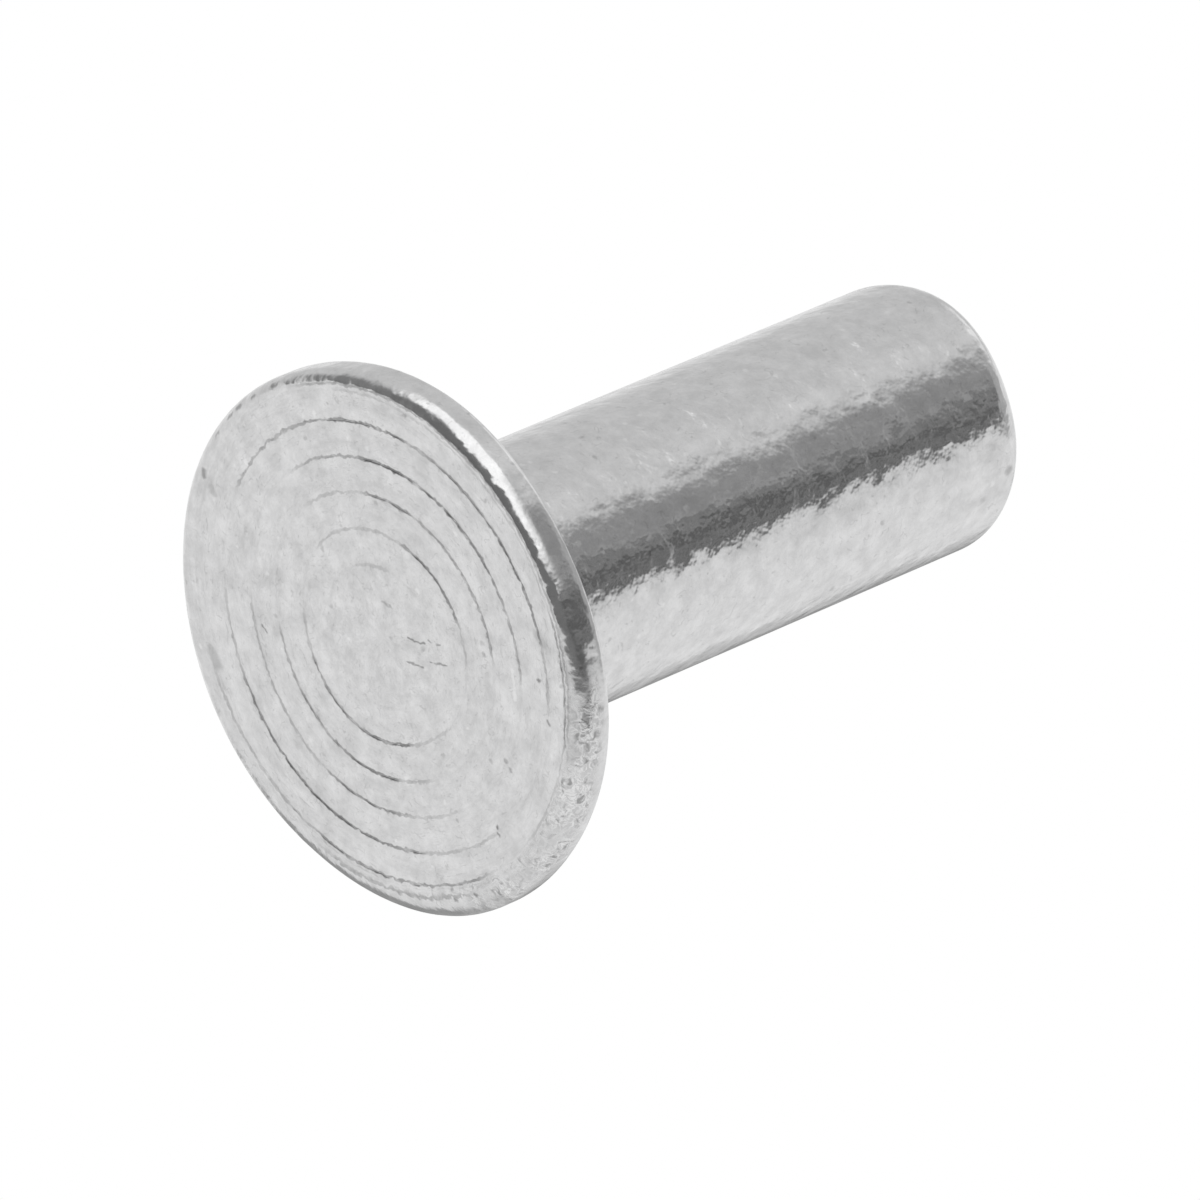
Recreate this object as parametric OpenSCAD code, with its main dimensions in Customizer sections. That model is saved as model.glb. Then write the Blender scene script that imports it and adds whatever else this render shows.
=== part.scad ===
// Hollow rivet, 6 x 16 mm, with a wide flat head.
// One piece of soft aluminium: a headed shank with a blind bore that opens at the tail.
// It stands on its tail, with the head up. The origin is at the middle of the tail end.

/* [Head] */
// Diameter of the head over its bulged rim
head_d = 12; // [10:0.1:16]
// Thickness of the head
head_t = 0.95; // [0.9:0.05:2]
// Radius that rolls the flat face into the rim
rim_front_r = 0.4; // [0.1:0.05:0.4]
// Radius that rolls the rim into the clamping face
rim_back_r = 0.2; // [0.1:0.05:0.5]

/* [Ring marks on the face] */
// How many rings the turned header die prints into the face
ring_count = 4; // [1:1:4]
// Radius of the innermost ring
ring_first_r = 2.38; // [1:0.02:2.5]
// Step in radius from one ring to the next
ring_pitch = 0.79; // [0.4:0.01:0.8]
// Width of a ring at the face
ring_w = 0.1; // [0.04:0.01:0.2]
// Depth of a ring
ring_depth = 0.04; // [0.02:0.01:0.1]
// How far the die sat off the axis, to the right
ring_shift_x = 0.1; // [-0.2:0.02:0.2]
// How far the die sat off the axis, to the front
ring_shift_front = 0.34; // [-0.4:0.02:0.4]

/* [Shank] */
// Diameter of the shank
shank_d = 6; // [5.6:0.1:8]
// Length of the shank under the head
shank_len = 15.8; // [14:0.1:40]
// Radius in the corner between the shank and the head
neck_r = 0.2; // [0.1:0.05:0.6]
// Radius on the outer corner of the tail
tail_r = 0.78; // [0.2:0.02:0.8]

/* [Bore] */
// Diameter of the bore
bore_d = 4; // [2:0.1:4]
// Depth of the bore at its full diameter, from the tail end
bore_len = 10; // [4:0.5:12]
// Point angle of the bore's cone-shaped bottom
bore_point = 118; // [90:1:160]
// Chamfer at the mouth of the bore
mouth_chamfer = 0.1; // [0.05:0.01:0.15]

/* [Hidden] */
$fn = 128;

aluminium = [0.76, 0.77, 0.78];

head_r = head_d / 2;
shank_r = shank_d / 2;
bore_r = bore_d / 2;
top_z = shank_len + head_t;
bore_point_h = bore_r / tan(bore_point / 2);
last_ring_r = ring_first_r + (ring_count - 1) * ring_pitch;

// How far a cutter reaches past the face that it cuts
over = 1;

// What is cut away to round a convex corner at the origin.
// The material lies on the -X, -Y side of the corner.
module corner_rounding(r) {
    difference() {
        translate([-r, -r]) square(r + over);
        translate([-r, -r]) circle(r);
        translate([-r - over, -r - over]) square([over, r + 2 * over]);
    }
}

// What is added to fill a concave corner at the origin with a fillet.
// The open side of the corner is +X, -Y.
module corner_fillet(r) {
    difference() {
        translate([-over, -r]) square([r + over, r + over]);
        translate([r, -r]) circle(r);
    }
}

// Half section of the head and shank, without the bore. X is the radius, Y the height.
module outer_section() {
    difference() {
        union() {
            translate([0, shank_len]) square([head_r, head_t]);
            square([shank_r, shank_len + head_t / 2]);
            intersection() {
                translate([shank_r, shank_len]) corner_fillet(neck_r);
                square([head_r - rim_back_r, shank_len + head_t / 2]);
            }
        }
        translate([head_r, top_z]) corner_rounding(rim_front_r);
        translate([head_r, shank_len]) mirror([0, 1]) corner_rounding(rim_back_r);
        translate([shank_r, 0]) mirror([0, 1]) corner_rounding(tail_r);
    }
}

// Half section of the bore: a chamfered mouth, a straight wall and a cone-shaped bottom
module bore_section() {
    polygon([
        [0, -over],
        [bore_r + mouth_chamfer + over, -over],
        [bore_r, mouth_chamfer],
        [bore_r, bore_len],
        [0, bore_len + bore_point_h]
    ]);
}

// V-shaped rings about the die's own centre
module ring_marks() {
    flare = (ring_depth + over) / ring_depth;
    for (r = [ring_first_r : ring_pitch : last_ring_r + ring_pitch / 2])
        rotate_extrude()
            polygon([
                [r, -ring_depth],
                [r + ring_w / 2 * flare, over],
                [r - ring_w / 2 * flare, over]
            ]);
}

module rivet() {
    color(aluminium)
    difference() {
        rotate_extrude() difference() {
            outer_section();
            bore_section();
        }
        translate([ring_shift_x, -ring_shift_front, top_z]) ring_marks();
    }
}

rivet();
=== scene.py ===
"""Looks of the hollow aluminium rivet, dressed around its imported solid.

The rivet stands on its tail with the head up. One closed skin is spun from the section,
then worked over the way the header die leaves it: off-centre die marks on the face,
a bulged and slightly uneven rim, small dents, and a frosted grain all over.
"""
import logging
import math
from collections.abc import Iterable
from dataclasses import dataclass
from enum import Enum

import bmesh
import bpy
from mathutils import Matrix, Vector, noise


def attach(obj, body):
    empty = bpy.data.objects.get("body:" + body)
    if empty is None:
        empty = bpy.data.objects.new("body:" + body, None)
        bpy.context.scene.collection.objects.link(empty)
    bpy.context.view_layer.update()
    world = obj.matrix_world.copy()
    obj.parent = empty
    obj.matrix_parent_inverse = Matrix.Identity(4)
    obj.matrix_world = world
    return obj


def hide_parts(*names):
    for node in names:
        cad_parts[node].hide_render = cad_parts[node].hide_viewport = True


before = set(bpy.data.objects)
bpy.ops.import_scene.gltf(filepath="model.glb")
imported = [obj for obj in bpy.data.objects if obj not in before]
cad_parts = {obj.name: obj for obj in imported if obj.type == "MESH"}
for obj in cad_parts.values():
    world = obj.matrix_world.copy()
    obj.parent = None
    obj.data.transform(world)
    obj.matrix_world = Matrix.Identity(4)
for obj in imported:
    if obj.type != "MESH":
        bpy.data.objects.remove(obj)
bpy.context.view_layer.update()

# Metres in a millimetre and in a micrometre
MM, UM = 1e-3, 1e-6
# How close, in millimetres, counts as on a face of the section, and as the same place
NEAR, TOUCH = 1e-2, 1e-4

BMesh = bmesh.types.BMesh
Tree = bpy.types.NodeTree
Node = bpy.types.Node
Socket = bpy.types.NodeSocket
Feed = float | tuple[float, ...] | Socket
Pair = tuple[float, float]
Triple = tuple[float, float, float]
Colour = tuple[float, float, float, float]
# Waves round a circle: the whole order of each, and the heights of its cosine and its sine
Waves = tuple[tuple[int, float, float], ...]
# How small marks are scattered: how densely, how wide each is, and the share that is kept
Scatter = Triple

WHITE: Colour = (1.0, 1.0, 1.0, 1.0)
BLACK: Colour = (0.0, 0.0, 0.0, 1.0)

log = logging.getLogger("rivet")


class Ease(Enum):
    """How a remapped value runs between its two ends."""

    STRAIGHT = "LINEAR"
    SMOOTH = "SMOOTHSTEP"


class Layer(Enum):
    """What one colour does to the colour under it."""

    COVER = "MIX"
    SHADE = "MULTIPLY"


def smooth(value: float, low: float, high: float) -> float:
    """Eases a value from 0 at low to 1 at high, where high may lie below low."""
    t = min(1.0, max(0.0, (value - low) / (high - low)))
    return t * t * (3.0 - 2.0 * t)


def turn_between(angle: float, centre: float) -> float:
    """Returns the signed turn from centre to angle, in degrees from -180 to 180."""
    return (angle - centre + 180.0) % 360.0 - 180.0


def sum_waves(angle: float, waves: Waves) -> float:
    """Returns the sum of some waves round a circle, at an angle in radians."""
    return sum(cosine * math.cos(order * angle) + sine * math.sin(order * angle)
               for order, cosine, sine in waves)


def direction(angle: float) -> Vector:
    """Returns the level unit vector that points at an angle in radians."""
    return Vector((math.cos(angle), math.sin(angle), 0.0))


def add_piece(name: str, bm: BMesh) -> bpy.types.Object:
    """Turns a bmesh into an object at the origin.

    Args:
        name: The name of the object and of its mesh.
        bm: The bmesh, which is freed.

    Returns:
        The object, linked to the scene.
    """
    mesh = bpy.data.meshes.new(name)
    bm.to_mesh(mesh)
    bm.free()
    piece = bpy.data.objects.new(name, mesh)
    bpy.context.scene.collection.objects.link(piece)
    return piece


class Bench:
    """A node tree with short calls for the nodes that the finishes are made of."""

    def __init__(self, tree: Tree) -> None:
        """Takes the tree that the nodes go into."""
        self.tree = tree

    def node(self, kind: str, *feeds: Feed, **settings: object) -> Node:
        """Adds a node.

        Args:
            kind: The node's type name, without its ShaderNode prefix.
            *feeds: What its first inputs take, in order.
            **settings: Values for the node's own properties.

        Returns:
            The new node.
        """
        made = self.tree.nodes.new(kind if kind.startswith("Node") else f"ShaderNode{kind}")
        for name, value in settings.items():
            setattr(made, name, value)
        for index, feed in enumerate(feeds):
            self.plug(made, index, feed)
        return made

    def plug(self, node: Node, name: str | int, feed: Feed) -> None:
        """Feeds a node's input with a value or with another node's output.

        Args:
            node: The node that takes the feed.
            name: The input's name or number.
            feed: A plain value, or an output socket.
        """
        if isinstance(feed, Socket):
            self.tree.links.new(feed, node.inputs[name])
        else:
            node.inputs[name].default_value = feed

    def fill(self, node: Node, **feeds: Feed) -> Node:
        """Feeds several inputs of a node.

        Args:
            node: The node that takes the feeds.
            **feeds: The feeds, with underscores for the spaces in the inputs' names.

        Returns:
            The node.
        """
        for name, feed in feeds.items():
            self.plug(node, name.replace("_", " "), feed)
        return node

    def math(self, operation: str, *feeds: Feed, clamp: bool = False) -> Socket:
        """Adds a Math node and returns its result, kept from 0 to 1 if clamp is set."""
        return self.node("Math", *feeds, operation=operation, use_clamp=clamp).outputs[0]

    def times(self, first: Feed, second: Feed) -> Socket:
        """Multiplies two values."""
        return self.math("MULTIPLY", first, second)

    def vector(self, operation: str, *feeds: Feed, scale: Feed | None = None) -> Socket:
        """Adds a Vector Math node.

        Args:
            operation: The name of the sum, such as SUBTRACT.
            *feeds: Its vectors, in order.
            scale: The factor of a SCALE sum.

        Returns:
            The result's socket: a value for DOT_PRODUCT and LENGTH, otherwise a vector.
        """
        made = self.node("VectorMath", *feeds, operation=operation)
        if scale is not None:
            self.plug(made, "Scale", scale)
        return made.outputs["Value" if operation in {"DOT_PRODUCT", "LENGTH"} else "Vector"]

    def remap(self, feed: Feed, low: Feed, high: Feed, to_low: Feed = 0.0, to_high: Feed = 1.0,
              ease: Ease = Ease.SMOOTH) -> Socket:
        """Adds a Map Range node that stops at its ends.

        Args:
            feed: The value to remap.
            low: The value that becomes to_low.
            high: The value that becomes to_high.
            to_low: The first end of the result.
            to_high: The other end of the result.
            ease: How the result runs between its ends.

        Returns:
            The result's socket.
        """
        made = self.node("MapRange", interpolation_type=ease.value)
        return self.fill(made, Value=feed, From_Min=low, From_Max=high, To_Min=to_low,
                         To_Max=to_high).outputs["Result"]

    def noise(self, vector: Feed, scale: Feed, detail: float = 2.0, roughness: float = 0.5,
              distortion: float = 0.0, output: str = "Fac") -> Socket:
        """Adds a Noise Texture and returns an output of it, from 0 to 1 around 0.5."""
        return self.fill(self.node("TexNoise"), Vector=vector, Scale=scale, Detail=detail,
                         Roughness=roughness, Distortion=distortion).outputs[output]

    def tint(self, factor: Feed, under: Feed, over: Feed, layer: Layer = Layer.COVER) -> Socket:
        """Lays one colour over another.

        Args:
            factor: How much of the upper colour shows.
            under: The lower colour.
            over: The upper colour.
            layer: What the upper colour does to the lower one.

        Returns:
            The colour's socket.
        """
        made = self.node("Mix", factor, data_type="RGBA", blend_type=layer.value)
        self.plug(made, 6, under)
        self.plug(made, 7, over)
        return made.outputs[2]

    def attribute(self, name: str) -> Socket:
        """Reads a value that the mesh carries at its points."""
        return self.node("Attribute", attribute_name=name).outputs["Fac"]

    def spread(self, group: Tree, *feeds: Feed) -> Socket:
        """Places a node group, feeds its inputs in order and returns its first result."""
        return self.node("Group", *feeds, node_tree=group).outputs[0]


def new_group(name: str, vectors: Iterable[str], values: Iterable[str],
              outputs: Iterable[str] = ("Mask",)) -> tuple[Bench, bpy.types.NodeOutputs, Node]:
    """Starts a shader node group.

    Args:
        name: The group's name.
        vectors: The names of its inputs that are vectors.
        values: The names of its inputs that are values.
        outputs: The names of its outputs, all of them values.

    Returns:
        The bench on the group's tree, what its inputs give, and the node that takes its
        results.
    """
    tree = bpy.data.node_groups.new(name, "ShaderNodeTree")
    for labels, way, kind in ((vectors, "INPUT", "Vector"), (values, "INPUT", "Float"),
                              (outputs, "OUTPUT", "Float")):
        for label in labels:
            tree.interface.new_socket(label, in_out=way, socket_type=f"NodeSocket{kind}")
    bench = Bench(tree)
    return bench, bench.node("NodeGroupInput").outputs, bench.node("NodeGroupOutput")


@dataclass(frozen=True)
class Stroke:
    """A scratch, pit, smudge, light rub or painted glint: a short line on the metal.

    Sizes are in millimetres, in the part's own frame. A tone above 0 darkens, one
    below 0 lightens.
    """

    start: Triple
    end: Triple
    half_width: float
    tone: float

    @staticmethod
    def group() -> Tree:
        """Builds the group that masks the metal near a line from one point to another.

        Returns:
            The group, with the output Mask, 1 along the line.
        """
        bench, given, result = new_group("stroke_mask", ("Vector", "Start", "End"),
                                         ("Half Width",))
        reach = bench.vector("SUBTRACT", given["Vector"], given["Start"])
        line = bench.vector("SUBTRACT", given["End"], given["Start"])
        along = bench.math(
            "DIVIDE", bench.vector("DOT_PRODUCT", reach, line),
            bench.math("ADD", bench.vector("DOT_PRODUCT", line, line), 1e-9), clamp=True)
        off = bench.vector("LENGTH", bench.vector(
            "SUBTRACT", reach, bench.vector("SCALE", line, scale=along)))
        width = given["Half Width"]
        bench.plug(result, 0, bench.remap(off, bench.times(width, 1.5), bench.times(width, 0.3)))
        return bench.tree


class Coat(Bench):
    """The bench of the metal's shader: what it reads off the skin, and its colour so far."""

    place: Socket
    shake: Socket
    shaken: Socket
    turned: Socket
    crumb: Socket
    on_face: Socket
    colour: Feed

    def shade(self, factor: Feed, colour: Colour) -> None:
        """Multiplies the coat's colour by another, as far as a factor says."""
        self.colour = self.tint(factor, self.colour, colour, Layer.SHADE)

    def stain(self, mask: Feed, tone: float, colour: Colour) -> None:
        """Covers the coat with a colour inside a mask, as strongly as a tone says."""
        self.colour = self.tint(self.times(mask, tone), self.colour, colour)


@dataclass(frozen=True)
class FrostedAluminium:
    """Cold-formed aluminium, tumbled to a frosted grain and printed by the header die.

    Colours are linear, lengths are in millimetres and heights in micrometres. A tone says
    how strongly a mark covers the metal, from 0 to 1. There is room for some 50 strokes:
    with 56 of them the shader is too large and the metal renders black.
    """

    flat_r: float
    ring_centre: Pair
    rings: tuple[float, ...]
    strokes: tuple[Stroke, ...]
    colour: Colour = (0.825, 0.825, 0.828, 1.0)
    dull: Colour = (0.815, 0.815, 0.815, 1.0)
    # Dark marks, and the painted shade in the crumbs' hollows
    marks_and_shade: Colour = (0.20, 0.20, 0.20, 1.0)
    # Light marks, and the painted glints on the crumbs' ridges and the shank's specks
    bright: Colour = (0.97, 0.97, 0.97, 1.0)
    streak: Colour = (0.90, 0.90, 0.90, 1.0)
    crumbling: Colour = (0.88, 0.88, 0.88, 1.0)
    roughness: Pair = (0.13, 0.21)
    crumb_roughness: float = 0.12
    streak_scales: Pair = (4.5, 3.6)
    streak_range: Pair = (0.42, 0.68)
    shake_scale: float = 7.0
    shake_mm: float = 0.13
    patch_scale: float = 2.1
    patch_range: Pair = (0.33, 0.67)
    pebble_scale: float = 1.6
    pebble_um: float = 59.0
    rim_pebble_share: float = 0.72
    cracks: Scatter = (2.3, 0.016, 0.47)
    ticks: Scatter = (1.5, 0.018, 0.49)
    crack_tone: float = 0.22
    break_shift: Triple = (11.0, 5.0, 3.0)
    break_scale: float = 2.1
    pits: Scatter = (2.2, 0.16, 0.24)
    pit_tone: float = 0.30
    rubs: Scatter = (2.6, 0.2, 0.25)
    rub_shift: Triple = (7.0, 3.0, 5.0)
    rub_tone: float = 0.40
    crumb_scale: float = 5.2
    crumb_patch_scale: float = 1.5
    crumb_patch_range: Pair = (0.40, 0.58)
    # Where the crumbs' hollows take painted shade
    hollow_shade_range: Pair = (0.45, 0.34)
    ridge_middle: float = 0.52
    # How narrow the painted glint along the crumbs' ridges is
    glint_range: Pair = (0.05, 0.01)
    crumb_um: float = 22.0
    # How strong the painted shade in the crumbs' hollows is
    hollow_shade_tone: float = 0.60
    # How strong the painted glint along the crumbs' ridges is
    glint_tone: float = 0.65
    ring_width: float = 0.050
    ring_swell: float = 2.4
    ring_shake_mm: float = 0.10
    ring_tone: float = 0.64
    ring_fade_scale: float = 3.2
    no_ring_mm: float = 9.0

    def grain_group(self) -> Tree:
        """Builds the group of the tumbled grain: fine pebbles on broad soft hollows.

        Returns:
            The group, with outputs Height (about -0.5 to 0.5) and Mottle (0 to 1).
        """
        bench, given, result = new_group("tumbled_grain", ("Vector",), (),
                                         ("Height", "Mottle"))
        place = given["Vector"]
        pebbles = bench.noise(place, self.pebble_scale, detail=3.0, roughness=0.46)
        height = bench.math("SUBTRACT", pebbles, 0.5)
        patches = bench.noise(place, self.patch_scale, detail=5.0, roughness=0.7)
        bench.plug(result, "Height", height)
        bench.plug(result, "Mottle", bench.remap(patches, *self.patch_range, ease=Ease.STRAIGHT))
        return bench.tree

    def fleck_group(self) -> Tree:
        """Builds the group that scatters small irregular flecks, a few to the millimetre.

        Returns:
            The group, with the output Mask, 1 in the middle of a fleck.
        """
        bench, given, result = new_group("scattered_flecks", ("Vector",),
                                         ("Scale", "Size", "Share"))
        cells = bench.fill(bench.node("TexVoronoi", feature="F1"),
                           Vector=given["Vector"], Scale=given["Scale"])
        pick, size, _ = bench.node("SeparateColor", cells.outputs["Color"]).outputs
        kept = bench.math("LESS_THAN", pick, given["Share"])
        radius = bench.times(given["Size"], bench.math("ADD", size, 0.4))
        dot = bench.remap(cells.outputs["Distance"], radius, bench.times(radius, 0.3))
        bench.plug(result, 0, bench.times(dot, kept))
        return bench.tree

    def hairline_group(self) -> Tree:
        """Builds the group of the hairlines: short, thin, wandering cracks.

        Returns:
            The group, with the output Mask, 1 along a crack.
        """
        bench, given, result = new_group("hairlines", ("Vector",),
                                         ("Scale", "Size", "Share"))
        place = given["Vector"]
        course = bench.noise(place, given["Scale"], detail=2.0, distortion=0.4)
        line = bench.remap(bench.math("ABSOLUTE", bench.math("SUBTRACT", course, 0.5)),
                           given["Size"], 0.0)
        breaks = bench.noise(bench.vector("ADD", place, self.break_shift),
                             bench.times(given["Scale"], self.break_scale), detail=1.0)
        limit = bench.math("SUBTRACT", 1.0, given["Share"])
        kept = bench.remap(breaks, limit, bench.math("ADD", limit, 0.08))
        bench.plug(result, 0, bench.times(line, kept))
        return bench.tree

    def start(self, tree: Tree) -> Coat:
        """Reads the coordinates and the layers that the mesh carries.

        Args:
            tree: The material's tree.

        Returns:
            The coat, still without a mark.
        """
        coat = Coat(tree)
        coat.place = coat.vector("SCALE", coat.node("TexCoord").outputs["Object"],
                                 scale=1 / MM)
        coat.shake = coat.vector("SUBTRACT", coat.noise(coat.place, self.shake_scale, 1.0,
                                                        output="Color"), (0.5, 0.5, 0.5))
        coat.shaken = coat.vector("MULTIPLY_ADD", coat.shake, (self.shake_mm,) * 3, coat.place)
        coat.turned = coat.attribute("turned_r")
        coat.crumb = coat.attribute("crumbled")
        coat.on_face = coat.times(coat.math("GREATER_THAN", coat.turned, TOUCH),
                                  coat.remap(coat.turned, self.flat_r + 0.15, self.flat_r))
        coat.colour = self.colour
        return coat

    def wrap(self, coat: Coat) -> Socket:
        """Wraps a pattern round the die's centre, so that it runs along the rings.

        Args:
            coat: The metal's coat.

        Returns:
            The wrapped place: the direction from the centre, and the radius.
        """
        shift = coat.vector("SUBTRACT", coat.place, (*self.ring_centre, 0.0))
        flat = coat.vector("MULTIPLY", shift, (1.0, 1.0, 0.0))
        around, across = self.streak_scales
        way = coat.vector("SCALE", coat.vector("NORMALIZE", flat), scale=around)
        radius = coat.times(coat.vector("LENGTH", flat), across)
        return coat.vector("ADD", way, coat.node("CombineXYZ", 0.0, 0.0, radius).outputs[0])

    def add_wear(self, coat: Coat) -> None:
        """Adds the streaks of the face, the hairline cracks, the pits and the light rubs.

        Args:
            coat: The metal's coat.
        """
        wrapped = self.wrap(coat)
        streaks = coat.noise(wrapped, 1.0, detail=4.0, roughness=0.72)
        streaks = coat.remap(streaks, *self.streak_range)
        coat.shade(coat.times(streaks, coat.on_face), self.streak)
        hairlines, flecks = self.hairline_group(), self.fleck_group()
        cracks = coat.spread(hairlines, coat.place, *self.cracks)
        ticks = coat.times(coat.spread(hairlines, wrapped, *self.ticks), coat.on_face)
        coat.stain(coat.math("MAXIMUM", cracks, ticks), self.crack_tone, self.marks_and_shade)
        coat.stain(coat.spread(flecks, coat.shaken, *self.pits), self.pit_tone, self.marks_and_shade)
        shifted = coat.vector("ADD", coat.shaken, self.rub_shift)
        coat.stain(coat.spread(flecks, shifted, *self.rubs), self.rub_tone, self.bright)

    def add_crumbs(self, coat: Coat) -> Socket:
        """Adds the crumbled stretch of the rim: ridges with painted glints, hollows with painted
        shade.

        Args:
            coat: The metal's coat.

        Returns:
            The height of the crumbs, from 0 to 1.
        """
        worms = coat.noise(coat.place, self.crumb_scale, detail=3.0, roughness=0.6,
                           distortion=0.7)
        patches = coat.noise(coat.place, self.crumb_patch_scale, detail=1.0)
        eaten = coat.times(coat.crumb, coat.remap(patches, *self.crumb_patch_range, 0.35, 1.0))
        # Painted shade: the crumbs' hollows are darkened
        shaded_hollows = coat.times(coat.remap(worms, *self.hollow_shade_range), eaten)
        coat.stain(shaded_hollows, self.hollow_shade_tone, self.marks_and_shade)
        coat.shade(coat.crumb, self.crumbling)
        # Painted highlight: a glint along the crumbs' ridges
        ridge = coat.math("ABSOLUTE", coat.math("SUBTRACT", worms, self.ridge_middle))
        glint = coat.times(coat.remap(ridge, *self.glint_range), eaten)
        coat.stain(glint, self.glint_tone, self.bright)
        return coat.times(worms, eaten)

    def add_rings(self, coat: Coat) -> None:
        """Adds the dark lines of the die's rings, as uneven as the mesh and a noise say.

        Args:
            coat: The metal's coat.
        """
        sway, swell, _ = coat.node("SeparateXYZ", coat.shake).outputs
        radius = coat.math("MULTIPLY_ADD", sway, self.ring_shake_mm, coat.turned)
        nearest: Feed = self.no_ring_mm
        for ring in self.rings:
            off = coat.math("ABSOLUTE", coat.math("SUBTRACT", radius, ring))
            nearest = coat.math("MINIMUM", nearest, off)
        width = coat.math("MULTIPLY_ADD", swell, self.ring_swell * self.ring_width,
                          self.ring_width)
        line = coat.remap(nearest, width, coat.times(width, 0.4))
        uneven = coat.remap(coat.noise(coat.place, self.ring_fade_scale, 3.0, 0.7),
                            0.32, 0.58, 0.5, 1.25, Ease.STRAIGHT)
        mark = coat.times(coat.attribute("die_mark"), uneven)
        coat.stain(coat.times(line, mark), self.ring_tone, self.marks_and_shade)

    def build(self) -> bpy.types.Material:
        """Makes the material.

        Returns:
            The material, reading object coordinates and the layers that the mesh carries.
        """
        material = bpy.data.materials.new("frosted_aluminium")
        material.use_nodes = True
        material.node_tree.nodes.clear()
        coat = self.start(material.node_tree)
        grain, mottle = coat.node("Group", coat.place, node_tree=self.grain_group()).outputs
        coat.shade(mottle, self.dull)
        self.add_wear(coat)
        crumbs = self.add_crumbs(coat)
        self.add_rings(coat)
        group = Stroke.group()
        # Strokes with a tone below 0 lighten; on the shank these are painted glints
        for stroke in self.strokes:
            mask = coat.spread(group, coat.shaken, stroke.start, stroke.end, stroke.half_width)
            coat.stain(mask, abs(stroke.tone), self.marks_and_shade if stroke.tone > 0.0 else self.bright)

        rough = coat.remap(mottle, 0.0, 1.0, *self.roughness, Ease.STRAIGHT)
        rough = coat.math("MULTIPLY_ADD", coat.crumb, self.crumb_roughness, rough)
        calm = coat.remap(coat.turned, self.flat_r + 0.2, self.flat_r + 0.5, 1.0,
                          self.rim_pebble_share)
        height = coat.times(coat.times(grain, calm), self.pebble_um)
        height = coat.math("MULTIPLY_ADD", crumbs, self.crumb_um, height)
        bump = coat.fill(coat.node("Bump"), Distance=UM, Height=height).outputs["Normal"]
        metal = coat.fill(coat.node("BsdfPrincipled"), Base_Color=coat.colour, Metallic=1.0,
                          Roughness=rough, Normal=bump)
        coat.node("OutputMaterial", metal.outputs["BSDF"])
        return material


@dataclass(frozen=True)
class PaleFloorPaint:
    """The evenly lit pale surface that the rivet stands on, faintly clouded."""

    light: Colour = WHITE
    cloud: Colour = (0.985, 0.985, 0.985, 1.0)
    cloud_scale: float = 9.0

    def build(self) -> bpy.types.Material:
        """Makes the material.

        Returns:
            The material, which gives off its light evenly and takes none.
        """
        material = bpy.data.materials.new("pale_floor_paint")
        material.use_nodes = True
        bench = Bench(material.node_tree)
        paint = material.node_tree.nodes["Principled BSDF"]
        clouds = bench.noise(bench.node("TexCoord").outputs["Object"], self.cloud_scale,
                             detail=1.0)
        glow = bench.tint(bench.remap(clouds, 0.6, 0.8), self.light, self.cloud)
        bench.fill(paint, Base_Color=BLACK, Roughness=1.0, Specular_IOR_Level=0.0,
                   Emission_Strength=1.0, Emission_Color=glow)
        return material


@dataclass(frozen=True)
class Arc:
    """A stretch of a die mark, from start to end in degrees, and how strongly it shows."""

    start: float
    end: float
    strength: float
    ease: float = 5.0

    def at(self, angle: float) -> float:
        """Works out how strongly the mark shows, easing off at both ends.

        Args:
            angle: The angle, in degrees.

        Returns:
            The strength there.
        """
        half = 0.5 * (self.end - self.start)
        off = abs(turn_between(angle, self.start + half))
        return self.strength * smooth(off, half + self.ease, half - self.ease)


@dataclass(frozen=True)
class Stretch:
    """A stretch of a circle, in degrees: its middle, and how far off it is full and gone."""

    middle: float
    full: float
    gone: float

    def at(self, angle: float) -> float:
        """Returns how much of the stretch an angle in radians feels, from 0 to 1."""
        return smooth(abs(turn_between(math.degrees(angle), self.middle)), self.gone, self.full)


@dataclass(frozen=True)
class Ripple:
    """A noise in the shape: its height, and how fine it is."""

    height: float
    fineness: float

    def at(self, place: Vector, lift: float = 0.0) -> float:
        """Returns the ripple at a place, read higher up in the noise by lift."""
        return self.height * noise.noise(place * self.fineness + Vector((0.0, 0.0, lift)))


@dataclass(frozen=True)
class DieMark:
    """One turned ring of the header die, printed into the face as a fine groove."""

    radius: float
    arcs: tuple[Arc, ...]
    width: float = 0.07
    depth: float = 0.022
    trace: float = 0.07

    def strength(self, angle: float) -> float:
        """Returns how strongly the groove is printed at an angle in degrees."""
        return max(self.trace, *(arc.at(angle) for arc in self.arcs))


@dataclass(frozen=True)
class Dent:
    """A small soft dent or bump in the face, at x and y."""

    x: float
    y: float
    radius: float
    depth: float


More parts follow.
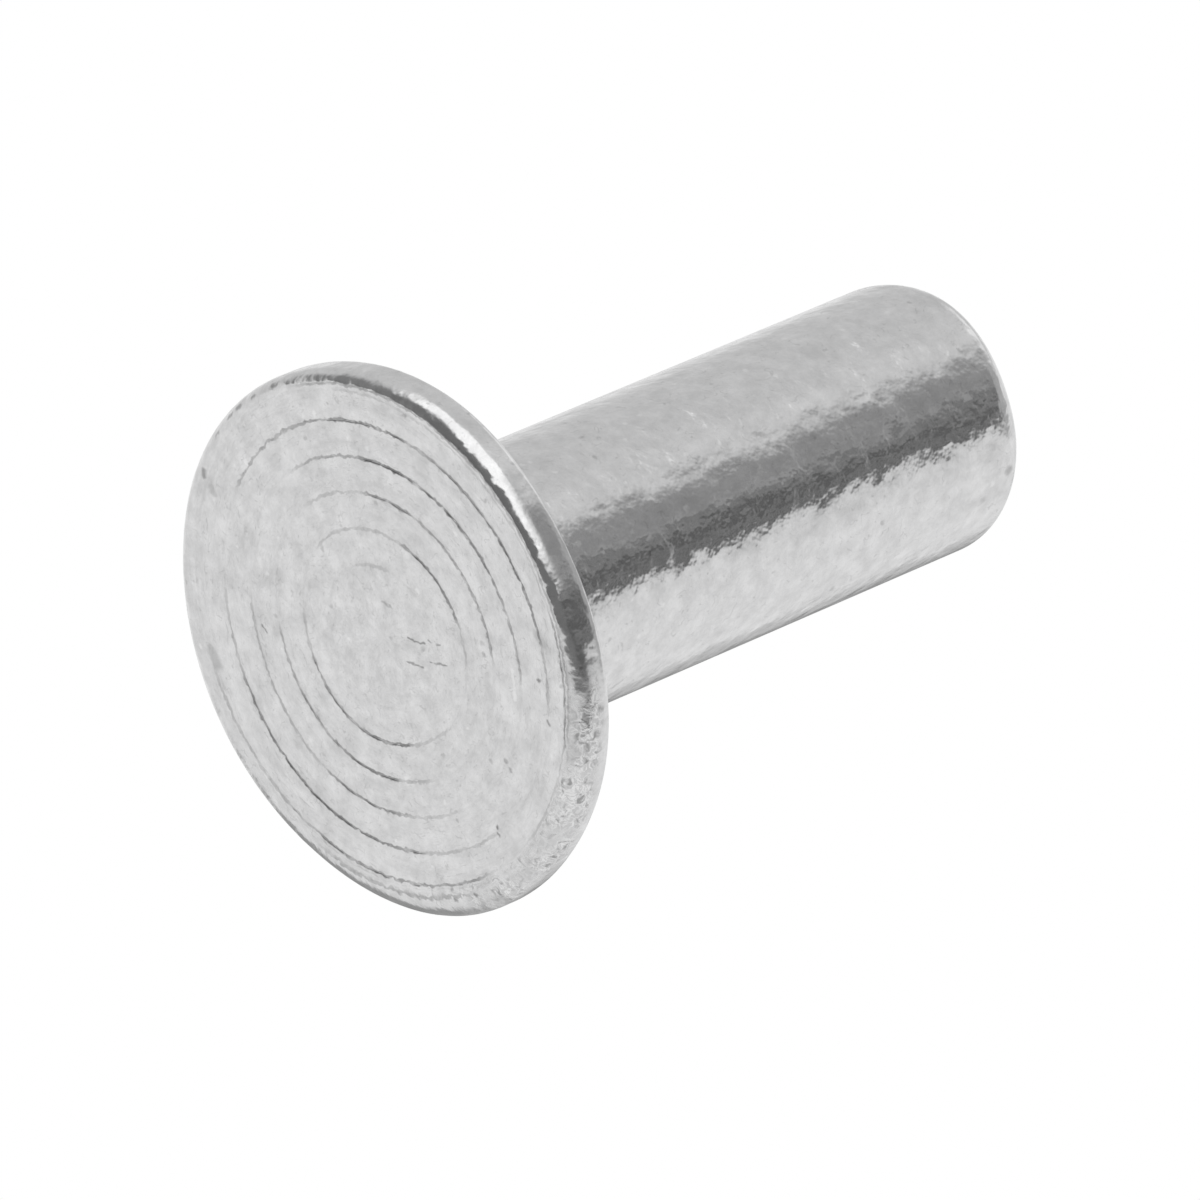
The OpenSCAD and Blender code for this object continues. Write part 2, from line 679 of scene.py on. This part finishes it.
@dataclass
class HollowRivet:
    """The whole part: a flat-headed rivet with a straight shank, bored from the tail.

    All sizes are in millimetres; the tail end stands at height 0 with the head up.
    """

    head_d: float = 12.0
    head_t: float = 0.95
    rim_front_r: float = 0.4
    rim_back_r: float = 0.2
    rim_roll_r: float = 0.45
    shank_d: float = 6.0
    shank_len: float = 15.8
    neck_r: float = 0.2
    tail_r: float = 0.78
    bore_d: float = 4.0
    bore_len: float = 10.0
    bore_point: float = 118.0
    mouth_chamfer: float = 0.1
    mark_shift: Pair = (0.10, -0.35)
    edge_shift: Pair = (0.15, -0.18)
    edge_r: float = 5.564
    edge_blend_r: float = 4.9
    tear_r: Pair = (5.2, 5.6)
    tears: tuple[Ripple, ...] = (Ripple(0.05, 7.0), Ripple(0.045, 19.0), Ripple(0.02, 41.0))
    ring_waves: Waves = ((2, 0.0, 0.022), (3, 0.028, 0.007), (4, -0.009, 0.011))
    ring_ripples: tuple[Ripple, Ripple] = (Ripple(0.016, 2.4), Ripple(0.010, 7.0))
    ring_breaks: Ripple = Ripple(0.9, 2.1)
    ring_steady_r: Pair = (0.4, 1.6)
    head_waves: Waves = ((1, 0.004, 0.029), (2, -0.014, 0.003), (3, -0.022, -0.006),
                         (4, 0.0, -0.007), (5, -0.008, 0.020))
    # What turned_r says at the centre, along the rim's roll, and on what lies behind it
    centre_turned: float = 1e-3
    rim_turned: float = 0.6
    back_turned: float = 7.0
    # How the head's edge follows the outline, and is tucked in low down on one side
    follow_r: Pair = (4.0, 5.7)
    tuck: float = 0.05
    tuck_r: Pair = (5.2, 5.7)
    tuck_from: float = 0.25
    tucked: Stretch = Stretch(-94.0, 20.0, 48.0)
    crumbled: Stretch = Stretch(-150.0, 30.0, 44.0)
    crumbled_r: Pair = (5.5, 5.62)
    tail_looser: float = 0.02
    tail_tighter: float = 0.26
    tail_tight: Stretch = Stretch(-48.0, 0.0, 55.0)
    # How finely the skin is cut: around, along a rounding, and in rows along the section
    steps: int = 576
    rounding_step: float = 0.045
    face_row: float = 0.18
    rim_row: float = 0.09
    shank_row: float = 0.45
    bore_row: float = 1.0
    groove_rows: tuple[float, ...] = (-0.5, -0.25, 0.0, 0.25, 0.5)
    marks: tuple[DieMark, ...] = (
        DieMark(1.60, (Arc(-40, 0, 0.35),)),
        DieMark(2.39, (Arc(-120, -98, 0.45), Arc(-100, -45, 0.95), Arc(-45, 20, 0.42),
                       Arc(60, 84, 0.5), Arc(82, 140, 0.85), Arc(135, 168, 1.0),
                       Arc(165, 200, 0.4))),
        DieMark(3.19, (Arc(-114, -50, 0.75), Arc(-50, -22, 0.9), Arc(-25, 10, 0.42),
                       Arc(70, 126, 0.75), Arc(122, 156, 0.95), Arc(154, 172, 0.6))),
        DieMark(3.965, (Arc(-120, -98, 0.7), Arc(-98, -48, 1.0), Arc(-48, -20, 1.1),
                        Arc(-24, 8, 0.7), Arc(62, 120, 0.55), Arc(120, 160, 0.95),
                        Arc(158, 180, 0.4))),
        DieMark(4.75, (Arc(-126, -106, 0.55), Arc(-108, -72, 1.0), Arc(-74, -42, 0.75),
                       Arc(-42, -12, 1.1), Arc(-14, 30, 0.8), Arc(60, 82, 0.5),
                       Arc(82, 162, 1.0), Arc(158, 190, 0.45))),
        DieMark(5.46, (Arc(-160, -128, 0.35), Arc(-132, -100, 0.9), Arc(-96, -20, 0.3),
                       Arc(82, 128, 0.5), Arc(125, 182, 0.85))),
        DieMark(5.585, (Arc(-128, -8, 0.75),), depth=0.0, trace=0.0),
        DieMark(5.67, (Arc(130, 176, 0.7),), depth=0.0, trace=0.0),
    )
    dents: tuple[Dent, ...] = (
        Dent(3.72, 0.25, 0.50, 0.012),
        Dent(4.2, 0.7, 0.55, -0.006),
        Dent(-2.75, 1.2, 0.45, 0.008),
    )
    # On the face or its roll: x and y of one end and of the other, half width and tone
    scratches: tuple[tuple[float, ...], ...] = (
        (-0.10, -1.07, -0.38, -1.49, 0.028, 0.75), (-0.32, -1.63, -0.50, -1.94, 0.026, 0.62),
        (-0.56, -0.76, -0.81, -1.17, 0.028, 0.68), (-0.75, -1.45, -0.95, -1.88, 0.026, 0.68),
        (0.80, -0.76, 0.60, -0.98, 0.030, 0.40), (-1.02, -3.10, -1.03, -3.12, 0.060, 0.55),
        (-3.21, -2.40, -3.26, -2.44, 0.045, 0.50), (-3.44, -2.42, -3.46, -2.42, 0.045, 0.50),
        (-4.42, -1.33, -4.43, -1.33, 0.048, 0.85), (-4.58, -1.28, -4.60, -1.28, 0.048, 0.85),
        (-1.96, -4.39, -1.98, -4.40, 0.060, 0.80), (-2.84, -4.15, -2.90, -4.15, 0.045, 0.60),
        (-5.27, 0.82, -5.29, 0.83, 0.048, 0.55), (-5.50, 0.90, -5.51, 0.88, 0.055, 0.65),
        (-5.56, 0.22, -5.58, 0.20, 0.048, 0.65), (4.80, 2.95, 4.70, 2.96, 0.070, 0.65),
        (4.42, 2.90, 4.32, 2.91, 0.110, 0.32), (1.34, 3.14, 1.16, 3.10, 0.032, 0.70),
        (1.34, 5.05, 0.96, 5.04, 0.130, 0.30), (-1.10, -4.92, -1.35, -5.00, 0.110, 0.30),
        (4.66, 1.17, 4.60, 1.10, 0.180, -0.30), (-1.56, -3.75, -2.15, -3.46, 0.045, -0.45),
        (5.83, -0.30, 5.82, -0.14, 0.060, 0.65), (5.80, 0.50, 5.79, 0.60, 0.060, 0.60),
        (5.73, 1.06, 5.70, 1.22, 0.065, 0.55), (5.64, 1.42, 5.60, 1.56, 0.060, 0.60),
        (5.40, 2.06, 5.36, 2.16, 0.055, 0.50),
    )
    # On the shank and the rim: x, y and z, half width and tone; a tone below 0 is a painted glint
    specks: tuple[tuple[float, ...], ...] = (
        (0.41, -2.97, 8.99, 0.10, -0.75), (0.13, -3.00, 10.01, 0.06, -0.7),
        (0.11, -3.00, 11.63, 0.055, -0.7), (0.75, -2.90, 12.83, 0.09, -0.55),
        (0.30, -2.99, 13.09, 0.06, -0.7), (-0.35, -2.98, 9.4, 0.06, 0.45),
        (-0.55, -2.95, 13.6, 0.07, 0.45), (-1.84, -2.37, 0.67, 0.12, 0.40),
        (-2.20, -2.04, 1.42, 0.09, 0.22), (-3.00, -5.15, 16.15, 0.075, 0.60),
        (-3.95, -4.38, 16.63, 0.06, 0.50), (-2.58, -5.28, 16.68, 0.05, 0.50),
        (-2.07, -5.54, 16.53, 0.05, 0.50),
    )
    speck_length: float = 0.03
    dented_t: float = 0.1

    @property
    def length(self) -> float:
        """The overall length, from the tail end to the face."""
        return self.shank_len + self.head_t

    @property
    def flat_r(self) -> float:
        """The radius of the flat of the face in the section, up to the front rounding."""
        return self.head_d / 2 - self.rim_front_r

    def outline(self, angle: float) -> float:
        """Returns the head's own radius at an angle in radians, a little out of round."""
        return self.head_d / 2 + sum_waves(angle, self.head_waves)

    def flat_edge(self, angle: float) -> Vector:
        """Returns the edge of the flat at an angle in radians, as a point in XY."""
        return Vector((*self.edge_shift, 0.0)) + self.edge_r * direction(angle)

    def ragged(self, angle: float) -> float:
        """Returns how far the flat's torn edge strays at an angle in radians."""
        return sum(tear.at(direction(angle)) for tear in self.tears)

    def rim_point(self, angle: float, share: float) -> Vector:
        """Returns a point of the roll from the flat into the rim.

        Args:
            angle: The angle about the head's axis, in radians.
            share: How far along the roll: 0 at the flat's edge, 1 where the rim is widest.

        Returns:
            The point, in millimetres.
        """
        edge = self.flat_edge(angle)
        outline = self.outline(angle)
        width = outline - edge.length
        roll = max(self.rim_roll_r, width)
        start = math.acos(1.0 - width / roll)
        tilt = start * (1.0 - share)
        way = (edge.normalized() * (1.0 - share) + direction(angle) * share).normalized()
        torn = self.ragged(angle) * (1.0 - share) ** 3
        point = way * (outline - roll + roll * math.cos(tilt) + torn)
        point.z = self.length - self.rim_roll_r * (math.sin(start) - math.sin(tilt))
        return point

    def on_top(self, x: float, y: float) -> Vector:
        """Finds the point of the face or of its roll into the rim above x and y.

        Args:
            x: The distance from the axis to the right, in millimetres.
            y: The distance from the axis to the back, in millimetres.

        Returns:
            The point, in millimetres.
        """
        angle, radius = math.atan2(y, x), math.hypot(x, y)
        edge, outline = self.flat_edge(angle).length, self.outline(angle)
        if radius <= edge:
            return Vector((x, y, self.length))
        roll = max(self.rim_roll_r, outline - edge)
        start = math.acos(1.0 - (outline - edge) / roll)
        tilt = math.acos(min(1.0, (radius - outline + roll) / roll))
        return Vector((x, y, self.length - self.rim_roll_r * (math.sin(start) - math.sin(tilt))))

    def tail_rounding(self, angle: float) -> float:
        """Returns the radius of the tail's outer corner at an angle in radians."""
        return self.tail_r + self.tail_looser - self.tail_tighter * self.tail_tight.at(angle)

    def draw_section(self, bm: BMesh) -> None:
        """Draws half of the rivet's section as a chain of edges, corner by corner.

        Args:
            bm: The bmesh that takes the chain, in the XZ plane.
        """
        head_r, shank_r, bore_r = self.head_d / 2, self.shank_d / 2, self.bore_d / 2
        tip = self.bore_len + bore_r / math.tan(math.radians(self.bore_point / 2))
        corners = (
            (0.0, self.length, 0.0),
            (head_r, self.length, self.rim_front_r),
            (head_r, self.shank_len, self.rim_back_r),
            (shank_r, self.shank_len, self.neck_r),
            (shank_r, 0.0, self.tail_r),
            (bore_r + self.mouth_chamfer, 0.0, 0.0),
            (bore_r, self.mouth_chamfer, 0.0),
            (bore_r, self.bore_len, 0.0),
            (0.0, tip, 0.0),
        )
        chain = [bm.verts.new((r * MM, 0.0, z * MM)) for r, z, _ in corners]
        for first, second in zip(chain, chain[1:]):
            bm.edges.new((first, second))
        for vert, (_, _, rounding) in zip(chain, corners):
            if rounding > 0.0:
                segments = max(6, round(rounding / self.rounding_step))
                bmesh.ops.bevel(bm, geom=[vert], offset=rounding * MM, offset_type="OFFSET",
                                affect="VERTICES", segments=segments, profile=0.5, material=-1)

    def cut_rows(self, bm: BMesh) -> None:
        """Cuts the section's long edges into rows, with a close set at each die mark.

        Args:
            bm: The bmesh that holds the section.
        """
        face_edges = [e for e in bm.edges
                      if all(abs(v.co.z / MM - self.length) < TOUCH for v in e.verts)]
        stops = [mark.radius + share * mark.width for mark in self.marks if mark.depth > 0.0
                 for share in self.groove_rows]
        stops.append(self.flat_r - 2 * NEAR)
        edge = max(face_edges, key=lambda e: e.calc_length())
        for stop in sorted(stops):
            inner, outer = sorted(edge.verts, key=lambda v: v.co.x)
            share = (stop * MM - inner.co.x) / (outer.co.x - inner.co.x)
            _, vert = bmesh.utils.edge_split(edge, inner, share)
            edge = max(vert.link_edges, key=lambda e: sum(v.co.x for v in e.verts))
        for edge in list(bm.edges):
            middle = sum((v.co for v in edge.verts), Vector()) / 2 / MM
            if middle.z > self.length - NEAR:
                step = self.face_row
            elif middle.z > self.shank_len + self.rim_back_r - NEAR:
                step = self.rim_row
            elif middle.x < self.bore_d / 2 + NEAR:
                step = self.bore_row
            else:
                step = self.shank_row
            cuts = math.ceil(edge.calc_length() / MM / step) - 1
            if cuts > 0:
                bmesh.ops.subdivide_edges(bm, edges=[edge], cuts=cuts)

    def spin(self, bm: BMesh) -> None:
        """Spins the section into a closed skin whose faces point outwards.

        Args:
            bm: The bmesh that holds the section.
        """
        bmesh.ops.spin(bm, geom=[*bm.verts, *bm.edges], cent=(0.0, 0.0, 0.0),
                       axis=(0.0, 0.0, 1.0), angle=math.tau, steps=self.steps, use_merge=True)
        bmesh.ops.remove_doubles(bm, verts=bm.verts, dist=TOUCH * MM)
        bmesh.ops.recalc_face_normals(bm, faces=bm.faces)

    def print_die(self, bm: BMesh) -> None:
        """Prints the die into the face, off its centre and slightly out of round.

        Args:
            bm: The skin with its rim. Its points take the marks' strength and the radius
                at which they were turned as layers.
        """
        strength = bm.verts.layers.float["die_mark"]
        turned = bm.verts.layers.float["turned_r"]
        for vert in bm.verts:
            radius = vert[turned]
            if radius <= 0.0:
                continue
            x, y, z = vert.co / MM
            angle = math.atan2(y, x)
            mark = min(self.marks, key=lambda mark: abs(mark.radius - radius))
            vert[strength] = mark.strength(math.degrees(angle))
            if radius > self.flat_r + TOUCH:
                continue
            spin = direction(angle)
            across = smooth(abs(radius - mark.radius), 0.5 * mark.width, 0.0)
            broken = self.ring_breaks.height + self.ring_breaks.at(spin * radius)
            depth = mark.depth * across * min(1.0, max(0.0, vert[strength] * broken))
            broad, fine = self.ring_ripples
            stray = sum_waves(angle, self.ring_waves) + broad.at(spin * radius) \
                + fine.at(spin * radius, lift=radius)
            stray *= smooth(radius, *self.ring_steady_r)
            ringed = Vector((*self.mark_shift, 0.0)) + spin * (radius + stray)
            edged = self.flat_edge(angle) * (radius / self.flat_r)
            edged += edged.normalized() * self.ragged(angle) * smooth(radius, *self.tear_r)
            inner = smooth(radius, self.flat_r, self.edge_blend_r)
            point = ringed * inner + edged * (1.0 - inner)
            vert.co = Vector((point.x, point.y, z - depth)) * MM

    def roll_rim(self, bm: BMesh) -> None:
        """Rolls the rim from the flat's edge, and marks where its metal crumbled.

        Args:
            bm: The spun skin. Its points take the radius at which they were turned.
        """
        for name in ("crumbled", "turned_r", "die_mark"):
            bm.verts.layers.float.new(name)
        crumbled, turned = (bm.verts.layers.float[name] for name in ("crumbled", "turned_r"))
        top, back = self.length - self.rim_front_r, self.shank_len + self.rim_back_r
        for vert in bm.verts:
            point = vert.co / MM
            radius, angle = point.xy.length, math.atan2(point.y, point.x)
            if point.z > self.length - TOUCH:
                vert[turned] = max(radius, self.centre_turned)
            elif point.z > top - TOUCH:
                rise = math.atan2(point.z - top, radius - self.flat_r)
                share = 1.0 - rise / (0.5 * math.pi)
                point = self.rim_point(angle, share)
                vert[turned] = self.flat_r + self.rim_turned * share
            elif point.z > self.shank_len - NEAR and radius > self.follow_r[0]:
                vert[turned] = self.back_turned
                widest = self.rim_point(angle, 1.0).z
                height = min(point.z, back) \
                    + max(0.0, point.z - back) * (widest - back) / (top - back)
                drop = (widest - height) / (widest - self.shank_len)
                low = max(0.0, drop - self.tuck_from) / (1.0 - self.tuck_from)
                tuck = self.tuck * self.tucked.at(angle) * low ** 2 * smooth(radius, *self.tuck_r)
                push = (self.outline(angle) - self.head_d / 2) * smooth(radius, *self.follow_r)
                point = direction(angle) * (radius + push - tuck)
                point.z = height
            vert.co = point * MM
            vert[crumbled] = self.crumbled.at(math.atan2(point.y, point.x)) \
                * smooth(point.xy.length, *self.crumbled_r) * smooth(point.z, back, top)

    def settle(self, bm: BMesh) -> None:
        """Dents the face softly and rounds the tail's corner unevenly.

        Args:
            bm: The skin with its rim.
        """
        for vert in bm.verts:
            x, y, z = vert.co / MM
            radius, angle = math.hypot(x, y), math.atan2(y, x)
            if z > self.length - self.dented_t:
                for dent in self.dents:
                    near = math.hypot(x - dent.x, y - dent.y) / dent.radius
                    z -= dent.depth * smooth(near, 1.0, 0.0)
            inner = self.shank_d / 2 - self.tail_r
            if z < self.tail_r and radius > inner + TOUCH:
                rounding = self.tail_rounding(angle)
                tilt = math.atan2(self.tail_r - z, radius - inner)
                new_radius = self.shank_d / 2 - rounding * (1.0 - math.cos(tilt))
                x, y = x * new_radius / radius, y * new_radius / radius
                z = rounding * (1.0 - math.sin(tilt))
            vert.co = Vector((x, y, z)) * MM

    def build(self) -> bpy.types.Object:
        """Builds the skin as one object at the origin.

        Returns:
            The rivet's object, with smooth shading.
        """
        bm = bmesh.new()
        self.draw_section(bm)
        self.cut_rows(bm)
        self.spin(bm)
        self.roll_rim(bm)
        self.print_die(bm)
        self.settle(bm)
        for face in bm.faces:
            face.smooth = True
        return add_piece("hollow_rivet", bm)

    def dress(self, piece: bpy.types.Object) -> None:
        """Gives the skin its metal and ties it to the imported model.

        Args:
            piece: The rivet's object.
        """
        strokes = tuple(
            Stroke(tuple(self.on_top(x0, y0)), tuple(self.on_top(x1, y1)), half, tone)
            for x0, y0, x1, y1, half, tone in self.scratches
        ) + tuple(
            Stroke((x, y, z), (x, y, z + self.speck_length), half, tone)
            for x, y, z, half, tone in self.specks
        )
        metal = FrostedAluminium(flat_r=self.flat_r, ring_centre=self.mark_shift,
                                 rings=tuple(mark.radius for mark in self.marks),
                                 strokes=strokes)
        piece.data.materials.append(metal.build())
        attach(piece, "root")
        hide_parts("rivet")


@dataclass(frozen=True)
class Card:
    """A soft-edged card of the studio, seen from the rivet: a bright one or a dark flag.

    Azimuths run in degrees from +X towards +Y, elevations up from the floor.
    """

    azimuth: float
    half_width: float
    elevation: float
    half_height: float
    level: float
    side_soft: float
    end_soft: float

    @staticmethod
    def group() -> Tree:
        """Builds the group that masks the directions that a card covers.

        Returns:
            The group, with the output Mask, 1 on the card.
        """
        bench, take, result = new_group(
            "studio_card", (), ("Azimuth", "Elevation", "Card Azimuth", "Half Width",
                                "Card Elevation", "Half Height", "Side Soft", "End Soft"))
        turn = bench.math("WRAP", bench.math("SUBTRACT", take["Azimuth"], take["Card Azimuth"]),
                          180.0, -180.0)
        rise = bench.math("SUBTRACT", take["Elevation"], take["Card Elevation"])
        masks = (bench.remap(bench.math("ABSOLUTE", off),
                             bench.math("ADD", take[half], take[soft]),
                             bench.math("SUBTRACT", take[half], take[soft]))
                 for off, half, soft in ((turn, "Half Width", "Side Soft"),
                                         (rise, "Half Height", "End Soft")))
        bench.plug(result, 0, bench.times(*masks))
        return bench.tree


@dataclass
class Studio:
    """Soft light all round, from bright cards and a few dark flags, over a pale floor."""

    tent: float = 0.79
    backdrop: float = 1.0
    floor_size: float = 4.0
    cards: tuple[Card, ...] = (
        Card(170, 42, -30, 80, 0.87, 14, 14),
        Card(90, 44, 44, 24, 0.865, 16, 14),
        Card(6, 50, -40, 52, 0.655, 14, 12),
        Card(-44, 14, -60, 34, 0.71, 12, 10),
        Card(86, 18, -45, 34, 0.90, 10, 14),
        Card(122, 9, -20, 24, 0.56, 8, 3),
        Card(104, 10, -19, 25, 0.33, 4, 3),
        Card(-44, 38, 3, 33, 1.25, 10, 5),
        Card(8, 34, 44, 26, 0.19, 8, 8),
        Card(21, 20, 28, 26, 0.24, 8, 12),
        Card(-64, 72, 84, 55, 0.18, 14, 4),
        Card(-79, 17, -58, 48, 0.315, 10, 22),
        Card(-118, 22, 26, 44, 0.19, 6, 14),
        Card(-109.3, 15.3, -30, 54, 0.10, 4, 12),
        Card(-84, 2.5, -40, 30, 0.28, 2.5, 10),
        Card(-101, 2.5, -30, 46, 0.30, 2.5, 14),
        Card(-114, 2.0, -30, 46, 0.27, 2.0, 14),
        Card(116, 9, -5, 14, 0.35, 5, 6),
        Card(-100, 46, -74, 23, 0.46, 10, 5),
        Card(-14, 24, -68, 13, 0.98, 12, 5),
    )

    def hang(self) -> None:
        """Builds the world shader: the tent and its cards, and the backdrop for the camera."""
        world = bpy.data.worlds.new("studio")
        bpy.context.scene.world = world
        world.use_nodes = True
        world.node_tree.nodes.clear()
        bench = Bench(world.node_tree)
        x, y, z = bench.node("SeparateXYZ",
                             bench.node("TexCoord").outputs["Generated"]).outputs
        azimuth = bench.math("DEGREES", bench.math("ARCTAN2", y, x))
        elevation = bench.math("DEGREES", bench.math("ARCSINE", z))
        group = Card.group()
        light: Feed = self.tent
        for card in self.cards:
            mask = bench.spread(group, azimuth, elevation, card.azimuth, card.half_width,
                                card.elevation, card.half_height, card.side_soft,
                                card.end_soft)
            light = bench.math("MULTIPLY_ADD", mask,
                               bench.math("SUBTRACT", card.level, light), light)
        studio, plain = (bench.node("Background", WHITE, strength).outputs[0]
                         for strength in (light, self.backdrop))
        seen = bench.node("LightPath").outputs["Is Camera Ray"]
        bench.node("OutputWorld", bench.node("MixShader", seen, studio, plain).outputs[0])

    def lay_floor(self) -> bpy.types.Object:
        """Lays the floor at the rivet's foot.

        Returns:
            The floor's object. The metal doesn't mirror it, so the cards light it all round.
        """
        bm = bmesh.new()
        bmesh.ops.create_grid(bm, x_segments=1, y_segments=1, size=self.floor_size / 2)
        floor = add_piece("floor", bm)
        floor.data.materials.append(PaleFloorPaint().build())
        floor.visible_glossy = False
        return floor


@dataclass(frozen=True)
class Viewpoint:
    """A long-lens camera above the rivet's side, rolled so that the rivet lies in view.

    Places are in millimetres, the clip distances in metres.
    """

    place: Triple = (-0.946, -255.002, 227.328)
    aim: Triple = (-0.9463, -3.0189, 13.1975)
    upwards: Triple = (0.91922, -0.25497, -0.30005)
    lens: float = 477.46
    sensor: float = 36.0
    clip: Pair = (0.01, 10.0)

    def set_up(self) -> bpy.types.Object:
        """Makes the camera and gives it to the scene.

        Returns:
            The camera's object.
        """
        data = bpy.data.cameras.new("camera")
        data.lens, data.sensor_width, data.sensor_fit = self.lens, self.sensor, "HORIZONTAL"
        data.clip_start, data.clip_end = self.clip
        camera = bpy.data.objects.new("camera", data)
        bpy.context.scene.collection.objects.link(camera)
        back = (Vector(self.place) - Vector(self.aim)).normalized()
        right = Vector(self.upwards).cross(back).normalized()
        turn = Matrix((right, back.cross(right), back)).transposed()
        camera.matrix_world = Matrix.Translation(Vector(self.place) * MM) @ turn.to_4x4()
        bpy.context.scene.camera = camera
        return camera


def main() -> None:
    """Builds the camera, the studio and the rivet, in that order."""
    logging.basicConfig(level=logging.INFO, format="%(message)s")
    bpy.context.scene.view_settings.view_transform = "Standard"
    Viewpoint().set_up()
    studio = Studio()
    studio.hang()
    floor = studio.lay_floor()
    log.info("%s: %d faces", floor.name, len(floor.data.polygons))
    rivet = HollowRivet()
    piece = rivet.build()
    rivet.dress(piece)
    log.info("%s: %d faces", piece.name, len(piece.data.polygons))


if __name__ == "__main__":
    main()
